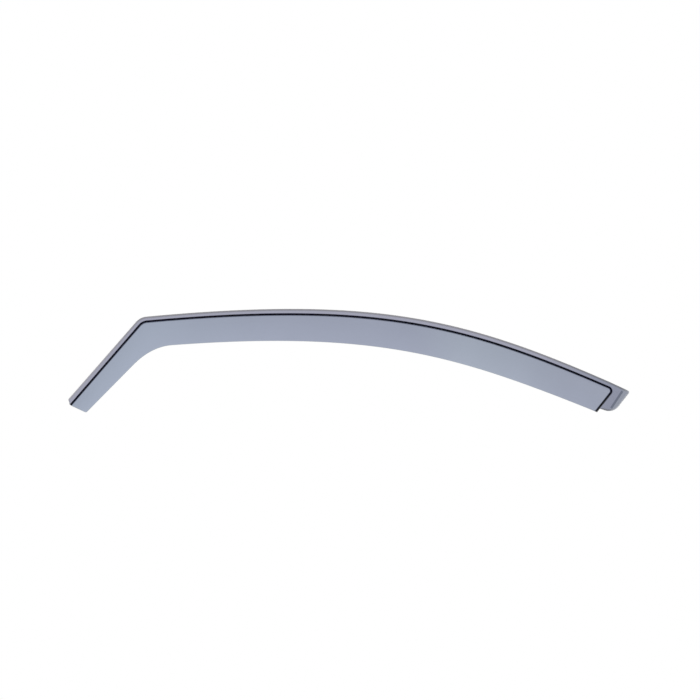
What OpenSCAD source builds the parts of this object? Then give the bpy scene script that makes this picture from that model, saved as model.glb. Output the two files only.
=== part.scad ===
// Window rain deflector for the front door, right-hand side of the car.
// It is one sheet of smoked acrylic, formed and trimmed in one piece: a flange that slides into
// the window channel, a step that clears the channel's lip, and a visor that stands off the glass.
//
// X runs along the car to its front, Z runs up and the outer face looks to -Y.
// The origin is the crown of the step line, on the inner face of the flange.

/* [Sheet] */
// Thickness of the acrylic sheet
sheet_t = 2.5; // [2:0.1:3.5]
// How far the visor stands out from the flange
step_h = 6; // [4.5:0.1:10]
// Radius in the hollow of each bend
hollow_r = 0.6; // [0.4:0.1:1]
// Radius on the round of each bend
round_r = 1.2; // [0.8:0.1:1.6]
// How far the cut edges are broken
edge_break = 0.35; // [0.2:0.05:0.45]
// Angle at which the visor leaves the step
flare_angle = 12; // [0:1:20]

/* [Door glass that the sheet follows] */
// Radius of the glass from sill to roof
glass_rise_r = 1400; // [1000:50:4000]
// Radius of the glass from front to back
glass_length_r = 7000; // [4000:250:20000]

/* [Roof run of the step line] */
// Length along X between the rear corner and the front corner
roof_span = 777.4; // [650:0.1:900]
// How much lower the front corner lies than the rear corner
front_drop = 111.4; // [70:0.1:160]
// Angle at which the line rises from the rear corner
rear_rise = 5.1; // [2:0.1:12]
// Angle at which the line falls into the front corner
front_fall = 23.5; // [16:0.1:30]
// How far the rear corner's direction pulls on the curve
rear_pull = 379; // [250:1:420]
// How far the front corner's direction pulls on the curve
front_pull = 262; // [180:1:330]
// Radius of the rear corner
rear_corner_r = 18; // [8:0.5:30]
// Radius of the front corner
front_corner_r = 6.4; // [5:0.1:10]

/* [Flange in the window channel] */
// Width of the flange at the rear corner
flange_rear_w = 8.2; // [6:0.1:14]
// Width of the flange half way along the roof
flange_mid_w = 9.3; // [6:0.1:14]
// Width of the flange at the front corner
flange_front_w = 8.8; // [6:0.1:14]
// Width of the flange at the tip of the leg
flange_tip_w = 9.2; // [6:0.1:14]
// Width of the thinned lead-in along the flange's edge
lead_in_w = 3; // [1.5:0.1:3.2]
// Thickness left at the flange's edge
lead_in_t = 1.2; // [1:0.1:1.8]

/* [Visor] */
// Width of the visor at the rear corner, square to the step line
visor_rear_w = 42.2; // [30:0.1:60]
// Width of the visor a third of the way along the roof
visor_third_w = 45.1; // [30:0.1:60]
// Width of the visor two thirds of the way along the roof
visor_two_thirds_w = 47.8; // [30:0.1:60]
// Width of the visor at the front corner
visor_front_w = 45.5; // [36:0.1:60]
// Angle of the front line from the vertical
front_lean = 38.3; // [30:0.1:50]

/* [Rear leg] */
// Length of the leg's step line from the rear corner to its tip
leg_len = 181.8; // [130:0.5:260]
// Angle of the leg from the horizontal
leg_angle = 49.1; // [40:0.1:65]
// Width that the leg's visor would have at the rear corner
leg_top_w = 38.9; // [30:0.1:48]
// Width of the leg's visor at its tip
leg_tip_w = 28; // [20:0.1:40]
// Distance below the rear corner at which the visor's inner curve ends on the leg
blend_leg = 62; // [50:1:90]
// Distance ahead of the rear corner at which the visor's inner curve ends on the roof
blend_roof = 46; // [32:1:70]
// Angle by which the visor is cut back at the tip
visor_cut = 15.2; // [5:0.1:30]
// Angle by which the flange is cut back at the tip
flange_cut = 25.6; // [5:0.1:35]
// Radius of the visor's corner at the tip
visor_tip_r = 4; // [2:0.1:8]
// Radius of the flange's corner at the tip
flange_tip_r = 3.3; // [3.3:0.1:5]

/* [Front tongue] */
// Length of the tongue, square to the front line
tongue_len = 24; // [18:0.1:32]
// Angle at which the tongue's top edge falls
tongue_fall = 25; // [18:0.1:32]
// Distance down the front line at which the tongue's lower edge ends
tongue_drop = 39; // [34:0.1:43]
// Angle at which the tongue's lower edge falls towards the front
tongue_low_fall = 17.5; // [5:0.1:30]
// Radius of the tongue's tip
tongue_tip_r = 3.4; // [3.3:0.1:6]
// Radius of the tongue's lower corner
tongue_low_r = 20; // [8:0.5:24]

/* [Hidden] */

// Numbers of steps along each stretch of the step line, from the tip of the leg to the front
tip_steps = 3;
leg_steps = 6;
blend_steps = 3;
rear_steps = 6;
roof_steps = 40;
half_steps = 4;
// Numbers of steps along the tongue's edge: top, tip, end, lower corner and lower edge
top_steps = 3;
nose_steps = 4;
end_steps = 4;
low_steps = 4;
under_steps = 2;
// Numbers of steps round the two bends of the section
foot_steps = 3;
head_steps = 4;

// Width of the flange left beside the wall below the tongue
lip_w = sheet_t / 2 + hollow_r + 0.4;
// Share of the roof over which the visor's cross lines turn to follow the front line
lean_from = 0.7;

// Directions in the plane of the door, by angle from +X towards +Z
function head(a) = [cos(a), sin(a)];
function left(a) = [-sin(a), cos(a)];
function unit(v) = v / norm(v);
function mix(a, b, f) = a + (b - a) * f;
function ease(f) = f <= 0 ? 0 : f >= 1 ? 1 : f * f * (3 - 2 * f);
function turned(v, a) = [v.x * cos(a) - v.y * sin(a), v.x * sin(a) + v.y * cos(a)];

// Distance from a corner at which a fillet of radius r between directions a0 and a1 starts
function run_in(a0, a1, r) = r * tan(abs(a1 - a0) / 2);

// Stations [point, direction] round a fillet at a corner, from direction a0 to direction a1
function fillet(corner, a0, a1, r, steps) =
    let (side = a1 > a0 ? 1 : -1,
         centre = corner - run_in(a0, a1, r) * head(a0) + side * r * left(a0))
    [for (k = [0:steps]) let (a = mix(a0, a1, k / steps)) [centre - side * r * left(a), a]];

// Point and direction of a cubic curve with four control points
function cubic(c, t) = pow(1 - t, 3) * c[0] + 3 * t * pow(1 - t, 2) * c[1]
    + 3 * t * t * (1 - t) * c[2] + pow(t, 3) * c[3];
function slope(c, t) = pow(1 - t, 2) * (c[1] - c[0]) + 2 * t * (1 - t) * (c[2] - c[1])
    + t * t * (c[3] - c[2]);

// Value at t of the smooth curve through three values, or through four, at even distances
function through3(w, t) = w[0] * (1 - t) * (1 - 2 * t) + w[1] * 4 * t * (1 - t)
    + w[2] * t * (2 * t - 1);
function through4(w, t) = let (x = 3 * t)
    w[0] * (1 - x) * (2 - x) * (3 - x) / 6 + w[1] * x * (2 - x) * (3 - x) / 2
    + w[2] * x * (x - 1) * (3 - x) / 2 + w[3] * x * (x - 1) * (x - 2) / 6;

// The roof curve with its rear corner at zero, and where its crown lies
front_heading = -90 - front_lean;
rear_run = run_in(leg_angle, rear_rise, rear_corner_r);
front_run = run_in(-front_fall, front_heading, front_corner_r);
raw_start = rear_run * head(rear_rise);
raw_end = [roof_span, -front_drop] - front_run * head(-front_fall);
raw_roof = [raw_start, raw_start + rear_pull * head(rear_rise),
    raw_end - front_pull * head(-front_fall), raw_end];
climb = [for (k = [0:2]) raw_roof[k + 1].y - raw_roof[k].y];
crown_t = 2 * climb[0] / (2 * (climb[0] - climb[1])
    + sqrt(pow(2 * (climb[0] - climb[1]), 2) - 4 * climb[0] * (climb[0] - 2 * climb[1] + climb[2])));
crown = cubic(raw_roof, crown_t);
roof = [for (p = raw_roof) p - crown];
rear_corner = -crown;
front_corner = [roof_span, -front_drop] - crown;
tip = rear_corner - leg_len * head(leg_angle);

// Length of the front line, down to the visor's lower edge
front_len = visor_front_w / cos(front_lean - front_fall);

// The cut-back corners at the tip of the leg
flange_tip = tip + flange_tip_w * (left(leg_angle) + tan(flange_cut) * head(leg_angle));
visor_tip = tip - leg_tip_w * (left(leg_angle) - tan(visor_cut) * head(leg_angle));
flange_tip_arc = fillet(flange_tip, leg_angle + 90 - flange_cut, leg_angle, flange_tip_r, tip_steps);
visor_tip_arc = fillet(visor_tip, leg_angle - 90 + visor_cut, leg_angle, visor_tip_r, tip_steps);

// Distances from the tip up the leg: at the tip's corners, at the inner curve and at the corner
tip_run = (flange_tip_w * tan(flange_cut) + run_in(leg_angle + 90 - flange_cut, leg_angle, flange_tip_r));
blend_at = leg_len - blend_leg;
leg_end = leg_len - rear_run;
blend_t = (blend_roof - rear_run) / (3 * rear_pull);

// Stations [point, direction] of the step line from the tip of the leg to the front line's foot
leg_line = [for (d = concat(
        [for (k = [0:tip_steps - 1]) mix(edge_break, tip_run, k / tip_steps)],
        [for (k = [0:leg_steps - 1]) mix(tip_run, blend_at, k / leg_steps)],
        [for (k = [0:blend_steps - 1]) mix(blend_at, leg_end, k / blend_steps)]))
    [tip + d * head(leg_angle), leg_angle]];
rear_line = fillet(rear_corner, leg_angle, rear_rise, rear_corner_r, rear_steps);
roof_t = concat([for (k = [1:blend_steps]) blend_t * k / blend_steps],
    [for (k = [1:roof_steps]) mix(blend_t, 1, k / roof_steps)]);
roof_line = [for (t = roof_t) let (s = slope(roof, t)) [cubic(roof, t), atan2(s.y, s.x)]];
front_arc = fillet(front_corner, -front_fall, front_heading, front_corner_r, 2 * half_steps);
down_steps = end_steps + low_steps + under_steps - 1;
down_d = concat([for (k = [1:down_steps]) mix(front_run, tongue_drop, k / down_steps)],
    [front_len - edge_break]);
front_line = [for (d = down_d) [front_corner + d * head(front_heading), front_heading]];
line = concat(leg_line, rear_line, roof_line, [for (k = [1:2 * half_steps]) front_arc[k]], front_line);

// Stations by number: where the inner curve starts and ends, where the front corner starts, where
// it is half turned, and the last one
blend_0 = tip_steps + leg_steps;
blend_1 = blend_0 + 2 * blend_steps + rear_steps;
turn_0 = blend_1 + roof_steps;
turn_mid = turn_0 + half_steps;
last = len(line) - 1;
rows = last - turn_mid;

// Share of the roof run at each station, from 0 on the leg to 1 at the front
function share(i) = i <= blend_0 + blend_steps + rear_steps ? 0
    : i >= turn_0 ? 1 : roof_t[i - blend_0 - blend_steps - rear_steps - 1];

// Direction across the sheet at each station, turned at the front line's foot to the lower edge
foot_turn = front_lean - front_fall;
function across(i) = let (
        f = (i - turn_mid - half_steps) / (last - turn_mid - half_steps),
        a = f > 0 ? foot_turn * f * f : 0)
    turned(left(line[i][1]), a) / cos(a);

// Outer edge of the flange: the tip's corner, an offset of the step line, then the tongue
flange_edge = concat(
    [for (s = flange_tip_arc) s[0]],
    [for (i = [tip_steps + 1:turn_0]) line[i][0] + left(line[i][1]) * (
        i <= blend_0 + blend_steps
            ? mix(flange_tip_w, flange_rear_w, norm(line[i][0] - tip) / leg_end)
            : through3([flange_rear_w, flange_mid_w, flange_front_w], share(i)))]);
edge_turn = flange_edge[turn_0];
// The tongue's end edge, parallel to the front line, and the corners of its outline
tongue_end = front_corner + tongue_len * left(front_heading);
reach = (cross2(tongue_end - edge_turn, head(front_heading)))
    / cross2(head(-tongue_fall), head(front_heading));
tongue_tip = edge_turn + reach * head(-tongue_fall);
tongue_root = front_corner + tongue_drop * head(front_heading) + lip_w * left(front_heading);
low_run = cross2(tongue_end - tongue_root, head(front_heading))
    / cross2(head(-tongue_low_fall), head(front_heading));
tongue_low = tongue_root + low_run * head(-tongue_low_fall);
function cross2(a, b) = a.x * b.y - a.y * b.x;
nose_arc = fillet(tongue_tip, -tongue_fall, front_heading, tongue_tip_r, nose_steps);
low_arc = fillet(tongue_low, front_heading, -180 - tongue_low_fall, tongue_low_r, low_steps);
tongue_edge = concat(
    [for (k = [1:top_steps - 1]) mix(edge_turn, nose_arc[0][0], k / top_steps)],
    [for (s = nose_arc) s[0]],
    [for (k = [1:end_steps - 1]) mix(nose_arc[nose_steps][0], low_arc[0][0], k / end_steps)],
    [for (s = low_arc) s[0]],
    [for (k = [1:under_steps]) mix(low_arc[low_steps][0], tongue_root, k / under_steps)],
    [line[last][0] + lip_w * across(last)]);
outer = concat(flange_edge, tongue_edge);

// Free edge of the visor: the tip's corner, the leg, the inner curve and the roof
function roof_free(i) = let (
        t = share(i),
        a = foot_turn * ease((t - lean_from) / (1 - lean_from)),
        w = through4([visor_rear_w, visor_third_w, visor_two_thirds_w, visor_front_w], t))
    line[i][0] - turned(left(line[i][1]), -a) * w / cos(a);
free_leg_end = tip + blend_at * head(leg_angle)
    - left(leg_angle) * mix(leg_tip_w, leg_top_w, blend_at / leg_len);
free_leg_start = visor_tip_arc[tip_steps][0];
blend_from = unit(free_leg_end - free_leg_start);
blend_to = unit(roof_free(blend_1 + 1) - roof_free(blend_1));
blend_turn = acos(blend_from * blend_to);
blend_hand = norm(roof_free(blend_1) - free_leg_end) / (2 * sin(blend_turn / 2))
    * 4 / 3 * tan(blend_turn / 4);
blend_curve = [free_leg_end, free_leg_end + blend_hand * blend_from,
    roof_free(blend_1) - blend_hand * blend_to, roof_free(blend_1)];
// How far the step line runs from the inner curve's start to each of its stations, and how far
// along the inner curve the cross line from there ends: at both ends it keeps pace with the line
blend_walk = [for (i = blend_0, s = 0; i <= blend_1; i = i + 1,
    s = s + norm(line[i][0] - line[i - 1][0])) s];
blend_run = blend_walk[blend_1 - blend_0];
function kept_pace(f) = f * f * (3 - 2 * f)
    + blend_run / (3 * blend_hand) * f * (1 - f) * (1 - 2 * f);
free = concat(
    [for (s = visor_tip_arc) s[0]],
    [for (k = [1:leg_steps - 1]) mix(free_leg_start, free_leg_end, k / leg_steps)],
    [for (s = blend_walk) cubic(blend_curve, kept_pace(s / blend_run))],
    [for (i = [blend_1 + 1:turn_0]) roof_free(i)]);

// Outward direction of an edge at point k, square to the line through its neighbours
function edge_out(p, k, side) =
    side * turned(unit(p[min(k + 1, len(p) - 1)] - p[max(k - 1, 0)]), 90);

// How far down the front line each row of the visor lies, from 0 to 1
row_share = concat([for (k = [0:half_steps]) front_run / front_len * k / half_steps],
    [for (d = down_d) d / front_len]);

// How far the free edge stands out beyond the step, at the reach w of the visor
function bow(w) = w * tan(flare_angle) / 2;
function bulge(q) = q * (2 - q);
function reach_of(i) = norm((i >= turn_0 ? free[turn_0] : free[i]) - line[min(i, turn_0)][0]);

// Height of the step wall and slope of the visor at each station
function wall_h(i) = step_h
    + (i > turn_mid ? bow(front_len) * bulge(row_share[i - turn_mid]) : 0);
function root_slope(i) = flare_angle * (i <= turn_0 ? 1 : i >= turn_0 + 2 * half_steps ? 0
    : 1 - (i - turn_0) / (2 * half_steps));

// Section through the step at a station, as [distance across, depth]: a bend at the wall's foot
// and one at its head. The outer skin has the hollow at the foot, the inner skin at the head.
function bend(corner, a1, r, steps) = [for (s = fillet(corner, -90, a1, r, steps)) s[0]];
function foot(corner, r) = [for (s = fillet(corner, -180, -90, r, foot_steps)) s[0]];
function section(i, skin) = let (a = root_slope(i), h = wall_h(i), half = sheet_t / 2)
    skin == 0
        ? concat(foot([half, -sheet_t], hollow_r),
            bend([half, -h - sheet_t + half * tan(a)], -180 + a, round_r, head_steps))
        : concat(foot([-half, 0], round_r),
            bend([-half, -h - half * tan(a)], -180 + a, hollow_r, head_steps));

// The sheet bowed to the glass: a point of the plane [x, z] at depth y
function on_glass(p, y) =
    [p.x, y + p.x * p.x / (2 * glass_length_r) + p.y * p.y / (2 * glass_rise_r), p.y];

// One skin of the flange and the step: a row of points from the flange's edge to the visor. The
// crease of the lead-in lies square to that edge, and at the tip of the leg along the cut.
function strip(i, skin) = let (
        out = edge_out(outer, i, 1),
        edge = outer[i] - edge_break * out,
        way_in = i == 0 ? unit(line[0][0] - edge) : -out,
        room = norm(outer[i] - line[i][0]) - sheet_t / 2 - hollow_r,
        w = min(lead_in_w, 0.6 * room),
        edge_t = mix(sheet_t, lead_in_t, w / lead_in_w))
    concat(
        [on_glass(edge, skin == 0 ? -edge_t : 0)],
        [on_glass(edge + (w - edge_break) * way_in, skin == 0 ? -sheet_t : 0)],
        [for (s = section(i, skin)) on_glass(line[i][0] + s.x * across(i), s.y)]);

module deflector() {
    strips = [for (skin = [0, 1]) [for (i = [0:last]) strip(i, skin)]];
    k_last = len(strips[0][0]) - 1;
    plane = function (p) [p.x, p.z];

    // One skin of the visor: cross lines from the step to the free edge, drawn over at the front
    // to run along the front line
    panel = [for (skin = [0, 1]) let (
            s = strips[skin],
            top = [for (i = [0:turn_mid]) plane(s[i][k_last])],
            side = [for (j = [0:rows]) plane(s[turn_mid + j][k_last])],
            low = [for (i = [0:turn_mid]) i <= turn_0
                ? free[i] - edge_break * edge_out(free, i, -1)
                : mix(free[turn_0] - edge_break * edge_out(free, turn_0, -1), side[rows],
                    (i - turn_0) / half_steps)])
        [for (i = [0:turn_mid - 1]) let (
                w = reach_of(i),
                q0 = norm(top[i] - line[i][0]) / w * (skin == 0 ? -0.2 : 1),
                near = ease((i - turn_0 + roof_steps / 5) / (turn_mid - turn_0 + roof_steps / 5)))
            [for (j = [1:rows]) let (
                    v = row_share[j] / row_share[rows],
                    q = mix(q0, 1, v),
                    p = mix(top[i], low[i], v) + near * (side[j] - mix(top[turn_mid], low[turn_mid], v)))
                on_glass(p, -step_h - (skin == 0 ? sheet_t : 0) - bow(w) * bulge(q))]]];

    // Places of the points in the list: the strip first, then the visor, for each skin
    strip_count = (last + 1) * (k_last + 1);
    skin_count = strip_count + turn_mid * rows;
    at = function (i, k) i * (k_last + 1) + k;
    on = function (i, j) j == 0 ? at(i, k_last) : i == turn_mid ? at(turn_mid + j, k_last)
        : strip_count + i * rows + j - 1;
    skins = [for (skin = [0, 1]) each concat(
        [for (s = strips[skin]) each s], [for (s = panel[skin]) each s])];

    // The boundary of a skin, and the way out of the sheet at each of its points
    rim = concat([for (i = [0:last]) at(i, 0)], [for (k = [1:k_last]) at(last, k)],
        [for (i = [turn_mid - 1:-1:0]) on(i, rows)], [for (j = [rows - 1:-1:1]) on(0, j)],
        [for (k = [k_last:-1:1]) at(0, k)]);
    foot_out = -left(-front_fall);
    rim_out = concat([for (i = [0:last - 1]) edge_out(outer, i, 1)],
        [unit(edge_out(outer, last, 1) + foot_out)], [for (k = [1:k_last]) foot_out],
        [for (i = [turn_mid - 1:-1:0]) edge_out(free, min(i, turn_0), -1)],
        [for (j = [rows - 1:-1:1]) head(leg_angle + 180 + visor_cut)],
        [for (k = [k_last:-1:1]) head(leg_angle + 180 - (k < 3 ? flange_cut : 0))]);
    rings = [for (skin = [0, 1]) each [for (k = [0:len(rim) - 1]) let (
            here = skins[rim[k] + skin * skin_count],
            there = skins[rim[k] + (1 - skin) * skin_count],
            out = rim_out[k])
        here + edge_break * ([out.x, 0, out.y] + unit(there - here))]];

    quad = function (a, b, c, d) [[a, b, c], [a, c, d]];
    skin_faces = concat(
        [for (i = [0:last - 1]) for (k = [0:k_last - 1])
            each quad(at(i, k), at(i + 1, k), at(i + 1, k + 1), at(i, k + 1))],
        [for (i = [0:turn_mid - 1]) for (j = [0:rows - 1])
            each quad(on(i, j), on(i + 1, j), on(i + 1, j + 1), on(i, j + 1))]);
    far_faces = [for (f = skin_faces) [f[2] + skin_count, f[1] + skin_count, f[0] + skin_count]];
    ring = 2 * skin_count;
    count = len(rim);
    edge_faces = [for (k = [0:count - 1]) let (n = (k + 1) % count) each concat(
        quad(rim[k], ring + k, ring + n, rim[n]),
        quad(ring + k, ring + count + k, ring + count + n, ring + n),
        quad(ring + count + k, rim[k] + skin_count, rim[n] + skin_count, ring + count + n))];

    color([0.62, 0.66, 0.72])
        polyhedron(points = concat(skins, rings),
            faces = concat(skin_faces, far_faces, edge_faces), convexity = 8);
}

deflector();
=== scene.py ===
"""Window rain deflector for a right-hand front door, formed from one sheet of smoked acrylic.

X runs along the car to its front, Z runs up and the outer face looks to -Y. Sizes are in metres.
"""

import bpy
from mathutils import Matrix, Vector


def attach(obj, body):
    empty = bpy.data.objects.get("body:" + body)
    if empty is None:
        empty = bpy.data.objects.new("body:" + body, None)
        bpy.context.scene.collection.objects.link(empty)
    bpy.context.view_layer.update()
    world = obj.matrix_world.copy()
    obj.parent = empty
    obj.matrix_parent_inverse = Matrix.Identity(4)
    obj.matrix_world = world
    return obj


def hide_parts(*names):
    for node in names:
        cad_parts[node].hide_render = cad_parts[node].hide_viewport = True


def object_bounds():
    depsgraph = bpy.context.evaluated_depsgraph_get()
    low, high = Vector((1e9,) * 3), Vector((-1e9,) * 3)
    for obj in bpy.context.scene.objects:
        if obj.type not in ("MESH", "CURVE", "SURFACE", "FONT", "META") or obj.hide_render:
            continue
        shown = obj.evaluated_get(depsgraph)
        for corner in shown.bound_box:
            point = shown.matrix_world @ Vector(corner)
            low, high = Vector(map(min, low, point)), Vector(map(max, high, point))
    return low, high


bl_info = {
    "name": "Window rain deflector",
    "version": (1, 0, 0),
    "blender": (4, 5, 0),
    "location": "3D View > Sidebar > Deflector",
    "description": "Builds a rain deflector from one sheet of smoked acrylic, and a plain studio",
    "category": "Add Mesh",
}

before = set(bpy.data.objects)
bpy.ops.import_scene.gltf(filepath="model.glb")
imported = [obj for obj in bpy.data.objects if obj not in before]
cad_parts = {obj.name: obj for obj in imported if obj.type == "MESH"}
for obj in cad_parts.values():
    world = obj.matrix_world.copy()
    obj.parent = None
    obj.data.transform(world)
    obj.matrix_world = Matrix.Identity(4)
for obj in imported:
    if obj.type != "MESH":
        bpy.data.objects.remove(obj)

import math
from types import SimpleNamespace

import bpy
import numpy as np
from bpy.props import FloatProperty, FloatVectorProperty, PointerProperty
from bpy.types import Operator, Panel, PropertyGroup
from mathutils import Vector

MM = 0.001
QUARTER = math.pi / 2
CAD_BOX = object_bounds()


def linear(hex_colour):
    """Turns an sRGB hex colour into the linear values that Blender works with."""
    srgb = np.array([int(hex_colour[k:k + 2], 16) for k in (1, 3, 5)]) / 255
    low, high = srgb / 12.92, ((srgb + 0.055) / 1.055) ** 2.4
    return tuple(float(c) for c in np.where(srgb <= 0.04045, low, high))


def length(name, mm, about):
    """A property for a length, given in millimetres and kept in metres."""
    return FloatProperty(name=name, description=about, default=mm * MM, precision=4,
                         subtype="DISTANCE", unit="LENGTH")


def angle(name, degrees, about):
    """A property for an angle, given in degrees and kept in radians."""
    return FloatProperty(name=name, description=about, default=math.radians(degrees),
                         subtype="ANGLE", unit="ROTATION")


def share(name, value, about):
    """A property for a share from 0 to 1."""
    return FloatProperty(name=name, description=about, default=value, min=0.0, max=1.0,
                         precision=3, subtype="FACTOR")


def colour(name, hex_colour, about):
    """A property for a colour, given as sRGB hex."""
    return FloatVectorProperty(name=name, description=about, default=linear(hex_colour),
                               subtype="COLOR", size=3, min=0.0, max=1.0)


class SheetSizes(PropertyGroup):
    """The sheet, its two bends and the door glass that it follows."""
    thickness: length("Thickness", 2.5, "Thickness of the acrylic sheet")
    step: length("Step", 6, "How far the visor stands out from the flange")
    hollow_r: length("Hollow radius", 0.6, "Radius in the hollow of each bend")
    round_r: length("Round radius", 1.2, "Radius on the round of each bend")
    edge_break: length("Edge break", 0.35, "Radius on the cut edges")
    flare: angle("Flare", 12, "Angle at which the visor leaves the step")
    glass_rise_r: length("Glass rise radius", 1400, "Radius of the glass from sill to roof")
    glass_length_r: length("Glass length radius", 7000, "Radius of the glass from front to back")


class RoofSizes(PropertyGroup):
    """The step line over the roof, from the rear corner to the front corner."""
    span: length("Span", 777.4, "Length along X between the rear and the front corner")
    front_drop: length("Front drop", 111.4, "How much lower the front corner lies")
    rear_rise: angle("Rear rise", 5.1, "Angle at which the line rises from the rear corner")
    front_fall: angle("Front fall", 23.5, "Angle at which the line falls into the front corner")
    rear_pull: length("Rear pull", 379, "How far the rear corner's direction pulls on the curve")
    front_pull: length("Front pull", 262, "How far the front corner's direction pulls on the curve")
    rear_corner_r: length("Rear corner radius", 18, "Radius of the rear corner")
    front_corner_r: length("Front corner radius", 6.4, "Radius of the front corner")


class FlangeSizes(PropertyGroup):
    """The flange that slides into the window channel."""
    rear_w: length("Width at the rear corner", 8.2, "Width of the flange at the rear corner")
    mid_w: length("Width half way", 9.3, "Width of the flange half way along the roof")
    front_w: length("Width at the front corner", 8.8, "Width of the flange at the front corner")
    tip_w: length("Width at the tip", 9.2, "Width of the flange at the tip of the leg")
    lead_in_w: length("Lead-in width", 3, "Width of the thinned lead-in along the edge")
    lead_in_t: length("Lead-in thickness", 1.2, "Thickness left at the flange's edge")
    lip: length("Lip", 0.4, "Flat left beside the wall's foot below the tongue")


class VisorSizes(PropertyGroup):
    """The visor that stands off the glass."""
    rear_w: length("Width at the rear corner", 42.2, "Width square to the step line there")
    third_w: length("Width a third along", 45.1, "Width a third of the way along the roof")
    two_thirds_w: length("Width two thirds along", 47.8, "Width two thirds of the way along")
    front_w: length("Width at the front corner", 45.5, "Width at the front corner")
    front_lean: angle("Front lean", 38.3, "Angle of the front line from the vertical")
    lean_from: share("Lean from", 0.7, "Share of the roof at which cross lines start to lean")


class LegSizes(PropertyGroup):
    """The straight rear leg and its tip."""
    length: length("Length", 181.8, "Length of the step line from the rear corner to the tip")
    angle: angle("Angle", 49.1, "Angle of the leg from the horizontal")
    top_w: length("Width at the corner", 38.9, "Width that its visor would have at the corner")
    tip_w: length("Width at the tip", 28, "Width of its visor at the tip")
    blend_leg: length("Blend down the leg", 62, "Where the visor's inner curve ends on the leg")
    blend_roof: length("Blend along the roof", 46, "Where that curve ends on the roof")
    visor_cut: angle("Visor cut", 15.2, "Angle by which the visor is cut back at the tip")
    flange_cut: angle("Flange cut", 25.6, "Angle by which the flange is cut back at the tip")
    visor_tip_r: length("Visor tip radius", 4, "Radius of the visor's corner at the tip")
    flange_tip_r: length("Flange tip radius", 3.3, "Radius of the flange's corner at the tip")


class TongueSizes(PropertyGroup):
    """The flat tongue ahead of the front line, behind the mirror's corner panel."""
    length: length("Length", 24, "Length of the tongue, square to the front line")
    fall: angle("Top fall", 25, "Angle at which its top edge falls")
    drop: length("Drop", 39, "Distance down the front line at which its lower edge ends")
    low_fall: angle("Lower fall", 17.5, "Angle at which its lower edge falls to the front")
    tip_r: length("Tip radius", 3.4, "Radius of its tip")
    low_r: length("Lower radius", 20, "Radius of its lower corner")
    guide_ahead: length("Guide line ahead", 14.7, "Distance from the front line to its middle")
    guide_down: length("Guide line down", 9.9, "Distance of its middle down the front line")
    guide_length: length("Guide line length", 34, "Length of the guide line")
    guide_w: length("Guide line width", 3.9, "Width of the guide line")
    guide_turn: angle("Guide line turn", 5, "Angle between it and the front line")


class AcrylicFinish(PropertyGroup):
    """Colours and gloss of the smoked acrylic: what white light looks like after one sheet."""
    visor: colour("Visor", "#9fa5b7", "White light seen through the visor's middle")
    leg: colour("Leg", "#a5aebf", "White light seen through the visor at the leg")
    shoulder: colour("Shoulder", "#a5adbc", "White light seen through the visor's front third")
    front: colour("Front", "#9da3b4", "White light seen through the visor's front end")
    flange: colour("Flange", "#a5a6b6", "White light seen through the flange")
    milled: colour("Milled lead-in", "#bcbcb8", "Share of the flange's light that its edge passes")
    tongue: colour("Tongue", "#9195a6", "White light seen through the tongue")
    margin: colour("Tongue's end", "#959aa7", "White light seen through the tongue's end")
    routed: colour("Routed edge", "#aeb3b5", "Colour of the frosted routed edges")
    # The bends' near-black colour is painted shade, which deepens the step's dark line beyond what the
    # sheet's own refraction gives
    bend: colour("Bends", "#000007", "White light seen through the round of a bend")
    printed: colour("Guide line", "#9b9fa7", "Share of the tongue's light that the line passes")
    inside: share("Share inside", 0.72, "Share of the tint that lies in the sheet's thickness")
    polished_rough: share("Polished roughness", 0.03, "Roughness of the polished faces")
    milled_rough: share("Milled roughness", 0.45, "Roughness of the milled lead-in")
    routed_rough: share("Routed roughness", 0.6, "Roughness of the routed edges")


class StudioSettings(PropertyGroup):
    """The camera, the floor and the lamps."""
    frame_w: length("Frame width", 1155, "Width that the picture shows at the object")
    aim_x: length("Aim X", 101.4, "Middle of the picture along the car")
    aim_z: length("Aim Z", -58.9, "Middle of the picture in height")
    lens: FloatProperty(name="Lens", description="Focal length of the camera", default=1200,
                        subtype="DISTANCE_CAMERA", unit="CAMERA")
    floor_drop: length("Floor drop", 540, "How far the floor lies below the object")
    floor_size: length("Floor size", 3000, "Width and depth of the floor")
    floor_colour: colour("Floor", "#f3f3f1", "Colour of the floor")
    floor_white: share("Floor white", 0.6, "Share of plain white in what is seen of its middle")
    ambient: share("Ambient", 0.8, "Strength of the light from all round")
    front: share("Front", 0.05, "Strength of the camera's side of the studio as faces mirror it")


class DeflectorSettings(PropertyGroup):
    """Everything that a user would change."""
    sheet: PointerProperty(type=SheetSizes)
    roof: PointerProperty(type=RoofSizes)
    flange: PointerProperty(type=FlangeSizes)
    visor: PointerProperty(type=VisorSizes)
    leg: PointerProperty(type=LegSizes)
    tongue: PointerProperty(type=TongueSizes)
    finish: PointerProperty(type=AcrylicFinish)
    studio: PointerProperty(type=StudioSettings)


# Where along X the visor has each of its tints
TINTS = (("leg", -330 * MM), ("visor", 50 * MM), ("visor", 190 * MM), ("shoulder", 300 * MM),
         ("front", 500 * MM))
# Stretches of X over which the lead-in grows deep, and the flange's colour turns to the tongue's
LEAD_GROWS, TONGUE_FADE = (-330 * MM, -200 * MM), (400 * MM, 540 * MM)
# What the visor's tint is multiplied by at the step and at the free edge
ACROSS_VISOR = 0.95, 1.06
# Size of the clouds in the smoke tint, what their deepest and palest multiply it by, and the
# values of the noise there
SMOKE_SIZE, SMOKE_SHADES, SMOKE_NOISE = 90 * MM, (0.98, 1.02), (0.3, 0.7)
# Size of the cutter's marks on a routed edge, and what they multiply its colour by. Real ones are
# 0.2 mm apart, too fine to show, so they are drawn three times as coarse.
MARK_SIZE, MARK_SHADES = 0.6 * MM, (0.9, 1.1)
# Softness of the guide line's rim to either side, as ink has
INK_RIM = 0.3 * MM
# Refractive index of acrylic
ACRYLIC_IOR = 1.49
# Density of the tint in the sheet, as a multiple of the least that can carry its deepest colour
DENSITY_ROOM = 1.25

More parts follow.
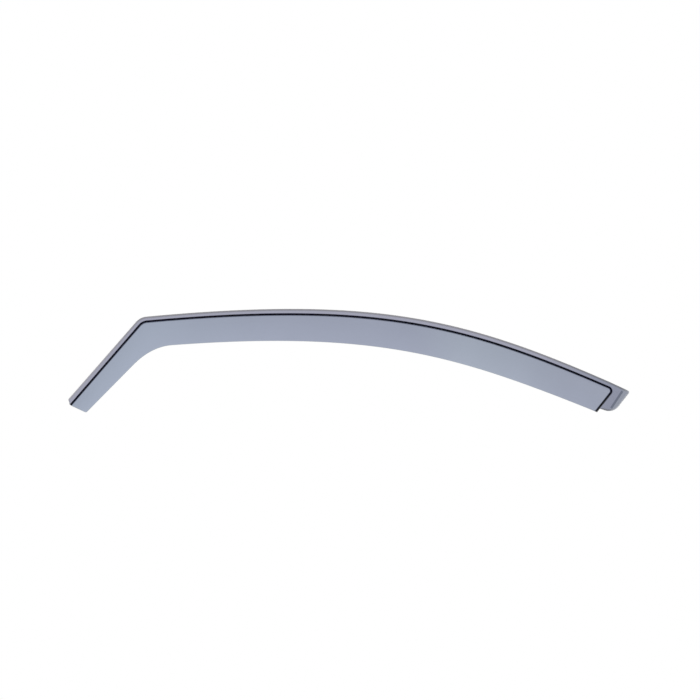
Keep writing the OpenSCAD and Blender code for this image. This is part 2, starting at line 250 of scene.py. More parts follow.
# Each lamp's name, its place from the middle of the picture, its size and its power in watts
LAMPS = (("lamp_above", (0.3, -1.0, 3.0), 3.0, 30), ("lamp_left", (-3.0, -2.0, 1.5), 2.0, 12),
         ("lamp_right", (3.2, -1.6, 1.2), 2.0, 10))
# Y of a mirrored direction at which the surround starts to turn white, and at which it is white
BACKDROP = 0.1, 0.8
# Width of the camera's sensor in millimetres
SENSOR = 36.0
# Inputs of a Mix node for its two colours and for its two numbers, and its output for a colour
COLOUR_A, COLOUR_B, NUMBER_A, NUMBER_B, MIXED = 6, 7, 2, 3, 2

# Numbers of steps round the leg's tip, along the leg, along each half of the visor's inner curve,
# round the rear corner, over the roof and round each half of the front corner
TIP, LEG, BLEND, REAR, ROOF, HALF = 8, 44, 20, 24, 270, 10
# Number of the roof's last steps over which the visor's cross lines are drawn over to the front
DRAWN = ROOF // 5
# Numbers of steps along the tongue's edge: nose, end, lower corner, lower edge and the lip below.
# Its top edge takes what the front corner's stations leave.
NOSE, END, LOW, UNDER, LIP = 8, 8, 12, 8, 5
TOP = 2 * HALF - 1 - NOSE
# The most that the lead-in takes of the room between the edge and the step
LEAD_ROOM = 0.6
# Rows across the lead-in and the flat of the flange, close together at the crease between them
LEAD_ROWS = np.array([0.0, 0.12, 0.5, 0.95, 1.0])
FLAT_ROWS = np.array([0.03, 0.25, 0.5, 0.75, 0.96])
# The row at which the step starts
FLATS = len(LEAD_ROWS) + len(FLAT_ROWS)
# Shares of the lead-in's darkness at its crease and on the leg, and of the bends' painted shade on the
# visor's one row beside the step
LEAD_FADE, LEG_LEAD, PAINTED_SHADE_BESIDE = 0.8, 0.5, 0.55
# Numbers of steps round the foot and the head of the step, up its wall and round a cut edge
FOOT, HEAD, WALL, ROUND = 6, 8, 3, 4


def direction(a):
    """Unit vectors [x, z] in the plane of the door, at angles from +X towards +Z."""
    return np.stack([np.cos(a), np.sin(a)], axis=-1)


def left(a):
    """Unit vectors a quarter turn to the left of the angles."""
    return direction(a + QUARTER)


def turned(v, a):
    """Vectors [x, z] turned to the left by angles."""
    x, z, c, s = v[..., 0], v[..., 1], np.cos(a), np.sin(a)
    return np.stack([x * c - z * s, x * s + z * c], axis=-1)


def mix(a, b, f):
    """What lies at the share f of the way from a to b."""
    return a + (b - a) * f


def ease(f):
    """A smooth rise from 0 to 1: three squares less two cubes of the share."""
    f = np.clip(f, 0.0, 1.0)
    return f * f * (3 - 2 * f)


def size_of(v):
    """Lengths of vectors."""
    return np.linalg.norm(v, axis=-1)


def unit(v):
    """Vectors of length one."""
    return v / size_of(v)[..., None]


def cross(a, b):
    """How far b turns to the left of a, times both lengths."""
    return a[0] * b[1] - a[1] * b[0]


def steps(a, b, count):
    """Even steps from a to b, without a itself."""
    return np.linspace(a, b, count + 1)[1:]


def run_in(a0, a1, r):
    """Distance from a corner at which its fillet starts: the radius times the half turn's tangent."""
    return r * np.tan(np.abs(a1 - a0) / 2)


def fillet(corner, a0, a1, r, count):
    """Points round fillets of corners between directions a0 and a1, and the direction at each.

    The centre lies a radius to the inner side of where the arc starts, and each point lies a
    radius from the centre, square to its own direction.
    """
    a0, a1 = np.broadcast_arrays(np.atleast_1d(a0), np.atleast_1d(a1))
    side = np.sign(a1 - a0)[:, None, None]
    heading = mix(a0[:, None], a1[:, None], np.linspace(0, 1, count + 1))
    start = np.atleast_2d(corner) - run_in(a0, a1, r)[:, None] * direction(a0)
    centre = start[:, None] + side * r * left(a0)[:, None]
    return centre - side * r * left(heading), heading


def cubic(c, t):
    """Points of a cubic curve: its four control points weighted by the powers of t and 1 - t."""
    t = np.asarray(t)[..., None]
    return (1 - t) ** 3 * c[0] + 3 * t * (1 - t) ** 2 * c[1] + 3 * t * t * (1 - t) * c[2] + t ** 3 * c[3]


def slope(c, t):
    """Directions of the same curve, from the differences of its control points."""
    t = np.asarray(t)[..., None]
    return (1 - t) ** 2 * (c[1] - c[0]) + 2 * t * (1 - t) * (c[2] - c[1]) + t * t * (c[3] - c[2])


def through(widths, t):
    """The smooth curve through widths at even distances: the one polynomial that meets them all."""
    at = np.linspace(0, 1, len(widths))
    return np.polyval(np.polyfit(at, widths, len(widths) - 1), t)


def outward(points, side):
    """Directions out of the sheet along an edge, square to the line through the neighbours."""
    ahead = np.concatenate([points[1:], points[-1:]]) - np.concatenate([points[:1], points[:-1]])
    return side * turned(unit(ahead), QUARTER)


def step_line(d):
    """The step line from the leg's tip to the front line's foot, as stations.

    It is a straight leg, a fillet, one cubic curve over the roof, a fillet and the straight front
    line. The roof is moved so that its crown, where it neither rises nor falls, is the origin.
    """
    roof, leg = d.roof, d.leg
    front_heading = -QUARTER - d.visor.front_lean
    rear_run = run_in(leg.angle, roof.rear_rise, roof.rear_corner_r)
    front_run = run_in(-roof.front_fall, front_heading, roof.front_corner_r)
    start = rear_run * direction(roof.rear_rise)
    end = np.array([roof.span, -roof.front_drop]) - front_run * direction(-roof.front_fall)
    curve = np.array([start, start + roof.rear_pull * direction(roof.rear_rise),
                      end - roof.front_pull * direction(-roof.front_fall), end])
    climb = np.diff(curve[:, 1])
    bend = climb[0] - 2 * climb[1] + climb[2]
    fade = 2 * (climb[0] - climb[1])
    crown = cubic(curve, 2 * climb[0] / (fade + math.sqrt(fade ** 2 - 4 * climb[0] * bend)))
    curve = curve - crown
    rear, front = -crown, np.array([roof.span, -roof.front_drop]) - crown

    tip = rear - leg.length * direction(leg.angle)
    tip_run = d.flange.tip_w * math.tan(leg.flange_cut) + run_in(
        leg.angle + QUARTER - leg.flange_cut, leg.angle, leg.flange_tip_r)
    blend_at, leg_end = leg.length - leg.blend_leg, leg.length - rear_run
    up = np.concatenate([np.linspace(d.sheet.edge_break, tip_run, TIP + 1),
                         steps(tip_run, blend_at, LEG), steps(blend_at, leg_end, BLEND)])
    rear_arc, rear_turn = fillet(rear, leg.angle, roof.rear_rise, roof.rear_corner_r, REAR)
    blend_t = (leg.blend_roof - rear_run) / (3 * roof.rear_pull)
    t = np.concatenate([steps(0, blend_t, BLEND), steps(blend_t, 1, ROOF)])
    along = slope(curve, t)
    front_arc, front_turn = fillet(front, -roof.front_fall, front_heading, roof.front_corner_r,
                                   2 * HALF)
    front_len = d.visor.front_w / math.cos(d.visor.front_lean - roof.front_fall)
    down = np.concatenate([steps(front_run, d.tongue.drop, END + LOW + UNDER - 1),
                           steps(d.tongue.drop, front_len - d.sheet.edge_break, LIP)])

    point = np.concatenate([tip + up[:, None] * direction(leg.angle), rear_arc[0, 1:],
                            cubic(curve, t), front_arc[0, 1:],
                            front + down[:, None] * direction(front_heading)])
    heading = np.concatenate([np.full(len(up), leg.angle), rear_turn[0, 1:],
                              np.arctan2(along[:, 1], along[:, 0]), front_turn[0, 1:],
                              np.full(len(down), front_heading)])
    turn = TIP + LEG + BLEND + REAR + BLEND + ROOF
    mid = turn + HALF
    station = np.arange(len(point))

    # The direction across the sheet turns at the front line's foot to the visor's lower edge
    foot_turn = d.visor.front_lean - roof.front_fall
    late = np.clip((station - mid - HALF) / (station[-1] - mid - HALF), 0, 1)
    lean = foot_turn * late ** 2
    return SimpleNamespace(
        point=point, heading=heading, across=turned(left(heading), lean) / np.cos(lean)[:, None],
        share=np.concatenate([np.zeros(len(up) + REAR), t, np.ones(2 * HALF + len(down))]),
        up=up, blend=TIP + LEG, merge=TIP + LEG + BLEND + REAR + BLEND, turn=turn, mid=mid,
        late=np.clip((station - turn) / (2 * HALF), 0, 1), foot_turn=foot_turn,
        front=front, front_heading=front_heading, front_len=front_len, tip=tip,
        leg_end=leg_end, blend_at=blend_at,
        row=np.concatenate([front_run / front_len * np.linspace(0, 1, HALF + 1), down / front_len]))


def flange_edge(d, line):
    """The flange's cut edge at each station: the tip's corner, an offset of the line, the tongue."""
    leg, tongue = d.leg, d.tongue
    corner = line.tip + d.flange.tip_w * (
        left(leg.angle) + math.tan(leg.flange_cut) * direction(leg.angle))
    tip_arc, _ = fillet(corner, leg.angle + QUARTER - leg.flange_cut, leg.angle,
                        leg.flange_tip_r, TIP)
    far = size_of(line.point - line.tip) / line.leg_end
    width = through([d.flange.rear_w, d.flange.mid_w, d.flange.front_w], line.share)
    width[:len(line.up)] = mix(d.flange.tip_w, d.flange.rear_w, far[:len(line.up)])
    run = slice(TIP + 1, line.turn + 1)
    offset = line.point[run] + width[run, None] * left(line.heading[run])

    # The tongue's end edge runs parallel to the front line, and straight edges lead up to it
    heading = line.front_heading
    end = line.front + tongue.length * left(heading)
    lip = d.sheet.thickness / 2 + d.sheet.hollow_r + d.flange.lip
    root = line.front + tongue.drop * direction(heading) + lip * left(heading)
    top_way, low_way = direction(-tongue.fall), direction(-tongue.low_fall)
    top = offset[-1] + top_way * cross(end - offset[-1], direction(heading)) / cross(
        top_way, direction(heading))
    low = root + low_way * cross(end - root, direction(heading)) / cross(
        low_way, direction(heading))
    nose = fillet(top, -tongue.fall, heading, tongue.tip_r, NOSE)[0][0]
    under = fillet(low, heading, -math.pi - tongue.low_fall, tongue.low_r, LOW)[0][0]
    return np.concatenate([
        tip_arc[0], offset,
        mix(offset[-1], nose[0], np.linspace(0, 1, TOP + 1)[1:-1, None]), nose,
        mix(nose[-1], under[0], np.linspace(0, 1, END + 1)[1:-1, None]), under,
        mix(under[-1], root, steps(0, 1, UNDER)[:, None]),
        line.point[-LIP:] + lip * line.across[-LIP:]])


def visor_edge(d, line):
    """The visor's free edge at each station up to the front corner.

    It is the tip's corner, a straight leg, a cubic inner curve and the roof's widths, set off
    along cross lines that lean over at the front until they run along the front line.
    """
    leg, visor = d.leg, d.visor
    corner = line.tip - leg.tip_w * (left(leg.angle) - math.tan(leg.visor_cut) * direction(leg.angle))
    tip_arc, _ = fillet(corner, leg.angle - QUARTER + leg.visor_cut, leg.angle,
                        leg.visor_tip_r, TIP)
    lean = line.foot_turn * ease((line.share - visor.lean_from) / (1 - visor.lean_from))
    width = through([visor.rear_w, visor.third_w, visor.two_thirds_w, visor.front_w], line.share)
    roof = line.point - turned(left(line.heading), -lean) * (width / np.cos(lean))[:, None]
    roof = roof[line.merge:line.turn + 1]
    start = tip_arc[0, -1]
    end = line.tip + line.blend_at * direction(leg.angle) - left(leg.angle) * mix(
        leg.tip_w, leg.top_w, line.blend_at / leg.length)

    # The inner curve is close to an arc between the leg's and the roof's directions
    way_in, way_out = unit(end - start), unit(roof[1] - roof[0])
    turn = math.acos(way_in @ way_out)
    hand = size_of(roof[0] - end) / (2 * math.sin(turn / 2)) * 4 / 3 * math.tan(turn / 4)
    curve = np.array([end, end + hand * way_in, roof[0] - hand * way_out, roof[0]])
    walk = np.cumsum(size_of(np.diff(line.point[line.blend:line.merge + 1], axis=0)))
    f = np.concatenate([[0], walk]) / walk[-1]
    pace = f * f * (3 - 2 * f) + walk[-1] / (3 * hand) * f * (1 - f) * (1 - 2 * f)
    return np.concatenate([tip_arc[0], mix(start, end, np.linspace(0, 1, LEG + 1)[1:-1, None]),
                           cubic(curve, pace), roof[1:]])


def bow(d, width):
    """How far the visor's free edge stands out beyond the step, at a width of the visor."""
    return width * math.tan(d.sheet.flare) / 2


def bulge(q):
    """Share of that at the share q of the width: steep at the step and level at the free edge."""
    return q * (2 - q)


def step_section(d, line, skin):
    """The step at each station as [distance across, depth]: a bend at its foot, a wall, a bend.

    Skin 0 is the outer face, with the hollow at the foot. Skin 1 is the inner face.
    """
    s = d.sheet
    half, count = s.thickness / 2, len(line.point)
    height = np.full(count, s.step)
    height[line.mid:] += bow(d, line.front_len) * bulge(line.row)
    a = s.flare * (1 - line.late)
    across = half if skin == 0 else -half
    depth = -s.thickness if skin == 0 else 0.0
    foot_r, head_r = (s.hollow_r, s.round_r) if skin == 0 else (s.round_r, s.hollow_r)
    foot, _ = fillet([across, depth], -math.pi, -QUARTER, foot_r, FOOT)
    foot = np.broadcast_to(foot, (count, FOOT + 1, 2))
    corner = np.stack([np.full(count, across), depth - height + across * np.tan(a)], axis=-1)
    head, _ = fillet(corner, np.full(count, -QUARTER), a - math.pi, head_r, HEAD)
    wall = mix(foot[:, -1:], head[:, :1], np.linspace(0, 1, WALL + 1)[1:-1, None])
    return np.concatenate([foot, wall, head], axis=1)


def strip(d, line, outer, skin):
    """One skin of the lead-in, the flange's flat and the step, as plane points and depths.

    Rows run from the cut edge to the visor. Across the lead-in the outer skin falls evenly from
    the thin edge to the full thickness. Its crease lies square to the edge, and at the tip of the
    leg along the cut. The third result is the distance across at which the step ends.
    """
    s = d.sheet
    out = outward(outer, 1)
    room = size_of(outer - line.point) - s.thickness / 2 - s.hollow_r
    width = np.minimum(d.flange.lead_in_w, LEAD_ROOM * room)
    thin = mix(s.thickness, d.flange.lead_in_t, width / d.flange.lead_in_w)
    edge = outer - s.edge_break * out
    way_in = np.concatenate([unit(line.point[:1] - edge[:1]), -out[1:]])
    crease = edge + (width - s.edge_break)[:, None] * way_in
    section = step_section(d, line, skin)
    step = line.point[:, None] + section[..., :1] * line.across[:, None]
    plane = np.concatenate([
        mix(edge[:, None], crease[:, None], LEAD_ROWS[:, None]),
        mix(crease[:, None], step[:, :1], FLAT_ROWS[:, None]), step], axis=1)
    full = np.full((len(outer), len(FLAT_ROWS)), s.thickness)
    outer_depth = np.concatenate([mix(thin[:, None], s.thickness, LEAD_ROWS), full], axis=1)
    depth = np.concatenate([-outer_depth * (1 - skin), section[..., 1]], axis=1)
    return plane, depth, section[:, -1, 0]


def panel(d, line, free, plane, ends, skin):
    """One skin of the visor: cross lines from the step to the free edge, as plane and depth.

    Each cross line is straight. Towards the front corner they are drawn over by what separates
    the last of them from the front line. Depth grows with the bulge of the share of the width.
    """
    s, mid, turn = d.sheet, line.mid, line.turn
    v = (line.row / line.row[-1])[:, None]
    top, side = plane[:mid + 1, -1], plane[mid:, -1]
    edge = free - s.edge_break * outward(free, -1)
    last = mix(edge[-1], side[-1], (np.arange(1, HALF + 1) / HALF)[:, None])
    low = np.concatenate([edge, last])
    near = ease((np.arange(mid + 1) - turn + DRAWN) / (mid - turn + DRAWN))[:, None, None]
    shift = side - mix(top[-1], low[-1], v)
    points = mix(top[:, None], low[:, None], v) + near * shift
    width = size_of(free - line.point[:turn + 1])
    width = np.concatenate([width, np.full(HALF, width[-1])])[:, None]
    q = mix(-ends[:mid + 1, None] / width, 1.0, v[:, 0])
    depth = -s.step - s.thickness * (1 - skin) - bow(d, width) * bulge(q)
    return points[:mid, 1:], depth[:mid, 1:]


def on_glass(d, plane, depth):
    """Puts plane points at their depths on the bowed glass: depth plus the two arcs' sagittas."""
    x, z = plane[..., 0], plane[..., 1]
    sag = x ** 2 / (2 * d.sheet.glass_length_r) + z ** 2 / (2 * d.sheet.glass_rise_r)
    return np.stack([x, depth + sag, z], axis=-1)


def grid_quads(a, b):
    """Corners of the quads between two neighbouring lines of indices."""
    return np.stack([a[:-1], b[:-1], b[1:], a[1:]], axis=-1).reshape(-1, 4)


def rim_of(d, line, outer, free, at, on):
    """The places of a skin's rim among its points, and the direction out of the sheet at each.

    It goes along the flange's edge, round the front line's foot, back along the visor's free edge
    and round the leg's tip, where the direction turns from the flange's cut to the visor's.
    """
    across, rows = at.shape[1], on.shape[1]
    tip_way = d.leg.angle + math.pi
    foot_way = -left(-d.roof.front_fall)
    cut = np.interp(np.arange(across), [FLATS, FLATS + FOOT, across - HEAD - 1, across - 1],
                    [-d.leg.flange_cut, 0, 0, d.leg.visor_cut])
    edge_out, free_out = outward(outer, 1), outward(free, -1)
    along_free = np.concatenate([free_out, np.repeat(free_out[-1:], HALF - 1, axis=0)])
    rim = np.concatenate([at[:, 0], at[-1, 1:], on[line.mid - 1::-1, -1], on[0, -2:0:-1],
                          at[0, :0:-1]])
    out = np.concatenate([edge_out[:-1], unit(edge_out[-1:] + foot_way),
                          np.repeat(foot_way[None], across - 1, axis=0), along_free[::-1],
                          np.repeat(direction(tip_way + d.leg.visor_cut)[None], rows - 2, axis=0),
                          direction(tip_way + cut)[:0:-1]])
    return rim, np.stack([out[:, 0], np.zeros(len(out)), out[:, 1]], axis=-1)


def sheet_arrays(d):
    """Points, quads, masks, the quads' materials and the sharp points of the whole sheet.

    The strip is a grid of stations by rows, and the visor a grid of stations by the front line's
    stations, which it shares with the strip. Both skins have the same layout. A rounded edge
    joins them: it turns from the skin to the outward direction through a quarter circle.
    """
    line = step_line(d)
    outer, free = flange_edge(d, line), visor_edge(d, line)
    skins, rows = [], len(line.row)
    for skin in (0, 1):
        plane, depth, ends = strip(d, line, outer, skin)
        visor, visor_depth = panel(d, line, free, plane, ends, skin)
        skins.append(np.concatenate([on_glass(d, plane, depth).reshape(-1, 3),
                                     on_glass(d, visor, visor_depth).reshape(-1, 3)]))
    stations, across = plane.shape[:2]
    at = np.arange(stations * across).reshape(stations, across)
    on = np.empty((line.mid + 1, rows), int)
    on[:, 0] = at[:line.mid + 1, -1]
    on[line.mid] = at[line.mid:, -1]
    on[:line.mid, 1:] = at.size + np.arange(line.mid * (rows - 1)).reshape(line.mid, rows - 1)
    count = len(skins[0])

    rim, out = rim_of(d, line, outer, free, at, on)
    rings, quarter = [], steps(0, QUARTER, ROUND)
    inward = unit(skins[1][rim] - skins[0][rim])
    for skin, turns in ((0, quarter), (1, quarter[::-1])):
        into = inward * (1 - 2 * skin)
        for turn in turns:
            push = out * math.sin(turn) + into * (1 - math.cos(turn))
            rings.append(skins[skin][rim] + d.sheet.edge_break * push)

    loops = np.concatenate([rim[None], 2 * count + np.arange(len(rings) * len(rim)).reshape(
        len(rings), -1), rim[None] + count])
    loops = np.concatenate([loops, loops[:, :1]], axis=1)
    quads = [grid_quads(at[i], at[i + 1]) for i in range(stations - 1)]
    quads += [grid_quads(on[i], on[i + 1]) for i in range(line.mid)]
    skin_quads = np.concatenate(quads)
    edge_quads = np.concatenate([grid_quads(a, b) for a, b in zip(loops[:-1], loops[1:])])
    faces = np.concatenate([skin_quads[:, ::-1], skin_quads + count, edge_quads])

    masks = skin_masks(line, across)
    from_rim = np.concatenate([np.tile(rim + skin * count, ROUND) for skin in (0, 1)])
    masks = {name: np.concatenate([mask, mask[from_rim]]) for name, mask in masks.items()}

    # Material 1 is on the visor's free edge and the cut ends, and material 0 on all the rest
    routed = np.arange(len(rim)) >= stations - 1
    slots = np.concatenate([np.zeros(2 * len(skin_quads), int), np.tile(routed, len(loops) - 1)])
    return drawn_in(np.concatenate(skins + rings)), faces, masks, slots, loops[[0, -1]]


def skin_masks(line, across):
    """Masks of both skins: a number for each row of the strip, and for each row of the visor.

    The lead-in's mask falls from its edge to its crease, and reach grows evenly from the step to
    the visor's free edge. The bends' mask, which carries the painted shade of the step's dark line,
    leaves out the wall, and is weaker beside the step. The matt lead-in and the mask named outer
    are on the outer skin alone.
    """
    row = np.arange(across)
    milled = np.interp(row, np.arange(len(LEAD_ROWS) + 1), [*mix(1.0, LEAD_FADE, LEAD_ROWS), 0])
    # Where the near-black painted shade of the step's line lies
    bend = (row >= FLATS) & (row < FLATS + FOOT) | (row > FLATS + FOOT + WALL)
    reach = line.row[1:] / line.row[-1]
    beside = np.zeros((line.mid, len(reach)))
    beside[:, 0] = beside[-1] = PAINTED_SHADE_BESIDE
    no_strip, no_visor = 0 * row, 0 * beside
    masks = {"milled": (milled, no_visor), "flange": (row < FLATS, no_visor),
             "bend": (bend, beside), "reach": (no_strip, reach + no_visor)}
    masks = {name: (skin, skin) for name, skin in masks.items()}
    masks["matt"] = (row < len(LEAD_ROWS), no_visor), (no_strip, no_visor)
    masks["outer"] = (1 + no_strip, 1 + no_visor), (no_strip, no_visor)
    return {name: np.concatenate([part for on_strip, on_visor in skins for part in (
        np.tile(on_strip, len(line.point)), np.ravel(on_visor))]) for name, skins in masks.items()}


def drawn_in(points):
    """Draws points in to the solid's box, from which finer arcs stand out by 0.1 mm at most.

    Each coordinate is scaled about the box's low side by the ratio of the two sizes.
    """
    low, high = (np.array(corner) for corner in CAD_BOX)
    first, last = points.min(axis=0), points.max(axis=0)
    return low + (points - first) * (high - low) / (last - first)


def mesh_of(name, points, faces, masks=None, slots=0, sharp=None):
    """A smooth mesh of quads, with a number for each mask at each point and each quad's material.

    An edge between two of the sharp points is sharp.
    """
    mesh = bpy.data.meshes.new(name)
    mesh.vertices.add(len(points))
    mesh.vertices.foreach_set("co", points.astype(np.float32).ravel())
    mesh.loops.add(faces.size)
    mesh.loops.foreach_set("vertex_index", faces.astype(np.int32).ravel())
    mesh.polygons.add(len(faces))
    mesh.polygons.foreach_set("loop_start", np.arange(0, faces.size, 4, dtype=np.int32))
    mesh.polygons.foreach_set("use_smooth", np.ones(len(faces), bool))
    mesh.polygons.foreach_set("material_index", np.broadcast_to(slots, len(faces)).astype(np.int32))
    mesh.update(calc_edges=True)
    if sharp is not None:
        ends = np.empty(2 * len(mesh.edges), np.int32)
        mesh.edges.foreach_get("vertices", ends)
        creased = np.isin(ends.reshape(-1, 2), sharp).all(axis=1)
        mesh.attributes.new("sharp_edge", "BOOLEAN", "EDGE").data.foreach_set("value", creased)
    for mask, values in (masks or {}).items():
        mesh.attributes.new(mask, "FLOAT", "POINT").data.foreach_set("value", values)
    if mesh.validate():
        raise RuntimeError(f"{name} has faces that Blender had to mend")
    return mesh


def volume_of(points, faces):
    """Six times the volume inside quads: each fan triangle's product of its three corners."""
    a, b, c, e = (points[faces[:, k]] for k in range(4))
    return np.sum(a * (np.cross(b, c) + np.cross(c, e)))


def in_scene(name, data):
    """A new object in the scene, at the origin."""
    thing = bpy.data.objects.new(name, data)
    bpy.context.scene.collection.objects.link(thing)
    return thing


def empty_tree(owner):
    """The node tree of a new material or world, with nothing in it."""
    owner.use_nodes = True
    owner.node_tree.nodes.clear()
    return owner.node_tree


def add_node(tree, kind, inputs=None, **settings):
    """Adds a node with its settings. Each input gets a link from an output, or a value."""
    node = tree.nodes.new(kind)
    for name, value in settings.items():
        setattr(node, name, value)
    for key, value in (inputs or {}).items():
        if isinstance(value, bpy.types.NodeSocket):
            tree.links.new(value, node.inputs[key])
        else:
            node.inputs[key].default_value = value
    return node


def door_masks(tree, d):
    """Masks that depend on where a point lies in the plane of the door.

    Each is a rise of the distance from an origin along a direction: the dot product of the two.
    They are the place along the car, where the lead-in is deep, where the flange's colour has
    turned to the tongue's, where the lead-in has run out, the tongue's end and the guide line.
    """
    tongue, line = d.tongue, step_line(d)
    place = add_node(tree, "ShaderNodeTexCoord").outputs["Object"]

    def distance(origin, way):
        """Distance of the place from the origin along a direction."""
        apart = add_node(tree, "ShaderNodeVectorMath", {0: place, 1: (origin[0], 0, origin[1])},
                         operation="SUBTRACT").outputs[0]
        return add_node(tree, "ShaderNodeVectorMath", {0: apart, 1: (way[0], 0, way[1])},
                        operation="DOT_PRODUCT").outputs["Value"]

    def rise(source, start, end, kind="SMOOTHSTEP"):
        """A rise from 0 at the start to 1 at the end."""
        ends = {"From Min": start, "From Max": end}
        return add_node(tree, "ShaderNodeMapRange", {"Value": source, **ends},
                        interpolation_type=kind).outputs[0]

    def within(source, size):
        """1 within half a size to either side, with a soft rim."""
        plain = add_node(tree, "ShaderNodeMath", {0: source}, operation="ABSOLUTE").outputs[0]
        return rise(plain, size / 2 + INK_RIM, size / 2 - INK_RIM)

    heading = line.front_heading
    middle = (line.front + tongue.guide_ahead * left(heading)
              + tongue.guide_down * direction(heading))
    along = heading + tongue.guide_turn
    past = distance(middle, left(along))
    guide = product(tree, within(past, tongue.guide_w),
                    within(distance(middle, direction(along)), tongue.guide_length))
    along_car = distance((0, 0), (1, 0))
    ahead = distance(line.front, left(heading))
    return {"along": rise(along_car, TINTS[0][1], TINTS[-1][1], "LINEAR"),
            "deep": rise(along_car, *LEAD_GROWS), "tongue": rise(along_car, *TONGUE_FADE),
            "ahead": rise(ahead, tongue.length / 2, tongue.length),
            "margin": rise(past, -tongue.guide_w / 2, tongue.guide_w / 2), "guide": guide}


def product(tree, a, b):
    """One mask times another."""
    return add_node(tree, "ShaderNodeMath", {0: a, 1: b}, operation="MULTIPLY").outputs[0]


def smoked_acrylic(d):
    """Smoked acrylic (PMMA), extruded, drape-formed and trimmed.

    Polished and see-through, so it shows what is behind it in grey-blue. Seen end on, the step's
    wall is a near-black line, partly because light crosses it lengthways and a bend's round throws
    it aside, and partly by a near-black painted shade on the bends. The milled lead-in is matt and
    greyer, and the routed edges are matt and pale.
    """
    finish = d.finish
    material = bpy.data.materials.new("smoked_acrylic")
    tree = empty_tree(material)
    masks = {name: add_node(tree, "ShaderNodeAttribute", attribute_name=name).outputs["Fac"]
             for name in ("milled", "matt", "flange", "outer", "bend", "reach")}
    masks.update(door_masks(tree, d))
    masks["tongue"] = product(tree, masks["tongue"], masks["flange"])
    masks["margin"] = product(tree, masks["margin"], masks["tongue"])

    # The lead-in is cut less deep on the leg, and runs out towards the tongue's end
    for name, least, most in (("deep", LEG_LEAD, 1.0), ("ahead", 1.0, 0.0)):
        cut = add_node(tree, "ShaderNodeMapRange",
                       {"Value": masks[name], "To Min": least, "To Max": most})
        masks["milled"] = product(tree, masks["milled"], cut.outputs[0])

    # The tint is partly in the thickness, and two faces carry the rest
    inside = np.array(finish.visor) ** finish.inside
    on_faces = {name: (*np.clip(np.array(getattr(finish, name)) / inside, 0, 1), 1)
                for name in ("visor", "leg", "shoulder", "front", "flange", "tongue", "margin",
                             "bend")}
    ramp = add_node(tree, "ShaderNodeValToRGB", {"Fac": masks["along"]})
    ramp.color_ramp.interpolation = "EASE"
    stops = ramp.color_ramp.elements
    start, end = TINTS[0][1], TINTS[-1][1]
    while len(stops) < len(TINTS):
        stops.new(1.0)
    for stop, (name, place) in zip(stops, TINTS):
        stop.position, stop.color = (place - start) / (end - start), on_faces[name]
    tint = ramp.outputs["Color"]

    # The visor's tint is darker at the step and paler towards its free edge, and the smoke in the sheet
    # is uneven
    place = add_node(tree, "ShaderNodeTexCoord").outputs["Object"]
    smoke = add_node(tree, "ShaderNodeTexNoise",
                     {"Vector": place, "Scale": 1 / SMOKE_SIZE, "Detail": 1.0})
    for source, (low, high), (least, most) in ((smoke.outputs[0], SMOKE_NOISE, SMOKE_SHADES),
                                               (masks["reach"], (0.0, 1.0), ACROSS_VISOR)):
        shade = add_node(tree, "ShaderNodeMapRange", {
            "Value": source, "From Min": low, "From Max": high, "To Min": least, "To Max": most})
        tint = add_node(tree, "ShaderNodeMix",
                        {"Factor": 1.0, COLOUR_A: tint, COLOUR_B: shade.outputs[0]},
                        data_type="RGBA", blend_type="MULTIPLY").outputs[MIXED]

    # The lead-in and the guide line darken what they lie on, and the line is on the outer skin alone
    masks["guide"] = product(tree, masks["guide"], masks["outer"])
    # The last mix lays a near-black painted shade on the bends, to deepen the step's dark line
    for name, blend, over in (("flange", "MIX", on_faces["flange"]),
                              ("tongue", "MIX", on_faces["tongue"]),
                              ("margin", "MIX", on_faces["margin"]),
                              ("milled", "MULTIPLY", (*finish.milled, 1)),
                              ("guide", "MULTIPLY", (*finish.printed, 1)),
                              ("bend", "MIX", on_faces["bend"])):
        tint = add_node(tree, "ShaderNodeMix",
                        {"Factor": masks[name], COLOUR_A: tint, COLOUR_B: over},
                        data_type="RGBA", blend_type=blend).outputs[MIXED]

    rough = add_node(tree, "ShaderNodeMapRange",
                     {"Value": masks["matt"], "To Min": finish.polished_rough,
                      "To Max": finish.milled_rough})
    surface = add_node(tree, "ShaderNodeBsdfPrincipled",
                       {"Base Color": tint, "Roughness": rough.outputs[0], "IOR": ACRYLIC_IOR,
                        "Transmission Weight": 1.0})

    # Absorption takes away the density times what the colour lacks of white, for each metre
    per_metre = -np.log(inside) / d.sheet.thickness
    density = float(per_metre.max()) * DENSITY_ROOM
    absorbed = add_node(tree, "ShaderNodeVolumeAbsorption",
                        {"Density": density, "Color": (*(1 - per_metre / density), 1)})
    add_node(tree, "ShaderNodeOutputMaterial",
             {"Surface": surface.outputs[0], "Volume": absorbed.outputs[0]})
    return material


def routed_acrylic(d):
    """The same acrylic where a router trimmed it to its outline.

    The cutter's marks scatter light, so the edge is a pale frosted grey with no tint to see.
    """
    material = bpy.data.materials.new("routed_acrylic")
    tree = empty_tree(material)
    place = add_node(tree, "ShaderNodeTexCoord").outputs["Object"]
    marks = add_node(tree, "ShaderNodeTexNoise",
                     {"Vector": place, "Scale": 1 / MARK_SIZE, "Detail": 2.0})
    dark, pale = ((*(shade * np.array(d.finish.routed)), 1) for shade in MARK_SHADES)
    grey = add_node(tree, "ShaderNodeMix",
                    {"Factor": marks.outputs[0], COLOUR_A: dark, COLOUR_B: pale},
                    data_type="RGBA").outputs[MIXED]
    surface = add_node(tree, "ShaderNodeBsdfPrincipled",
                       {"Base Color": grey, "Roughness": d.finish.routed_rough,
                        "IOR": ACRYLIC_IOR})
    add_node(tree, "ShaderNodeOutputMaterial", {"Surface": surface.outputs[0]})
    return material


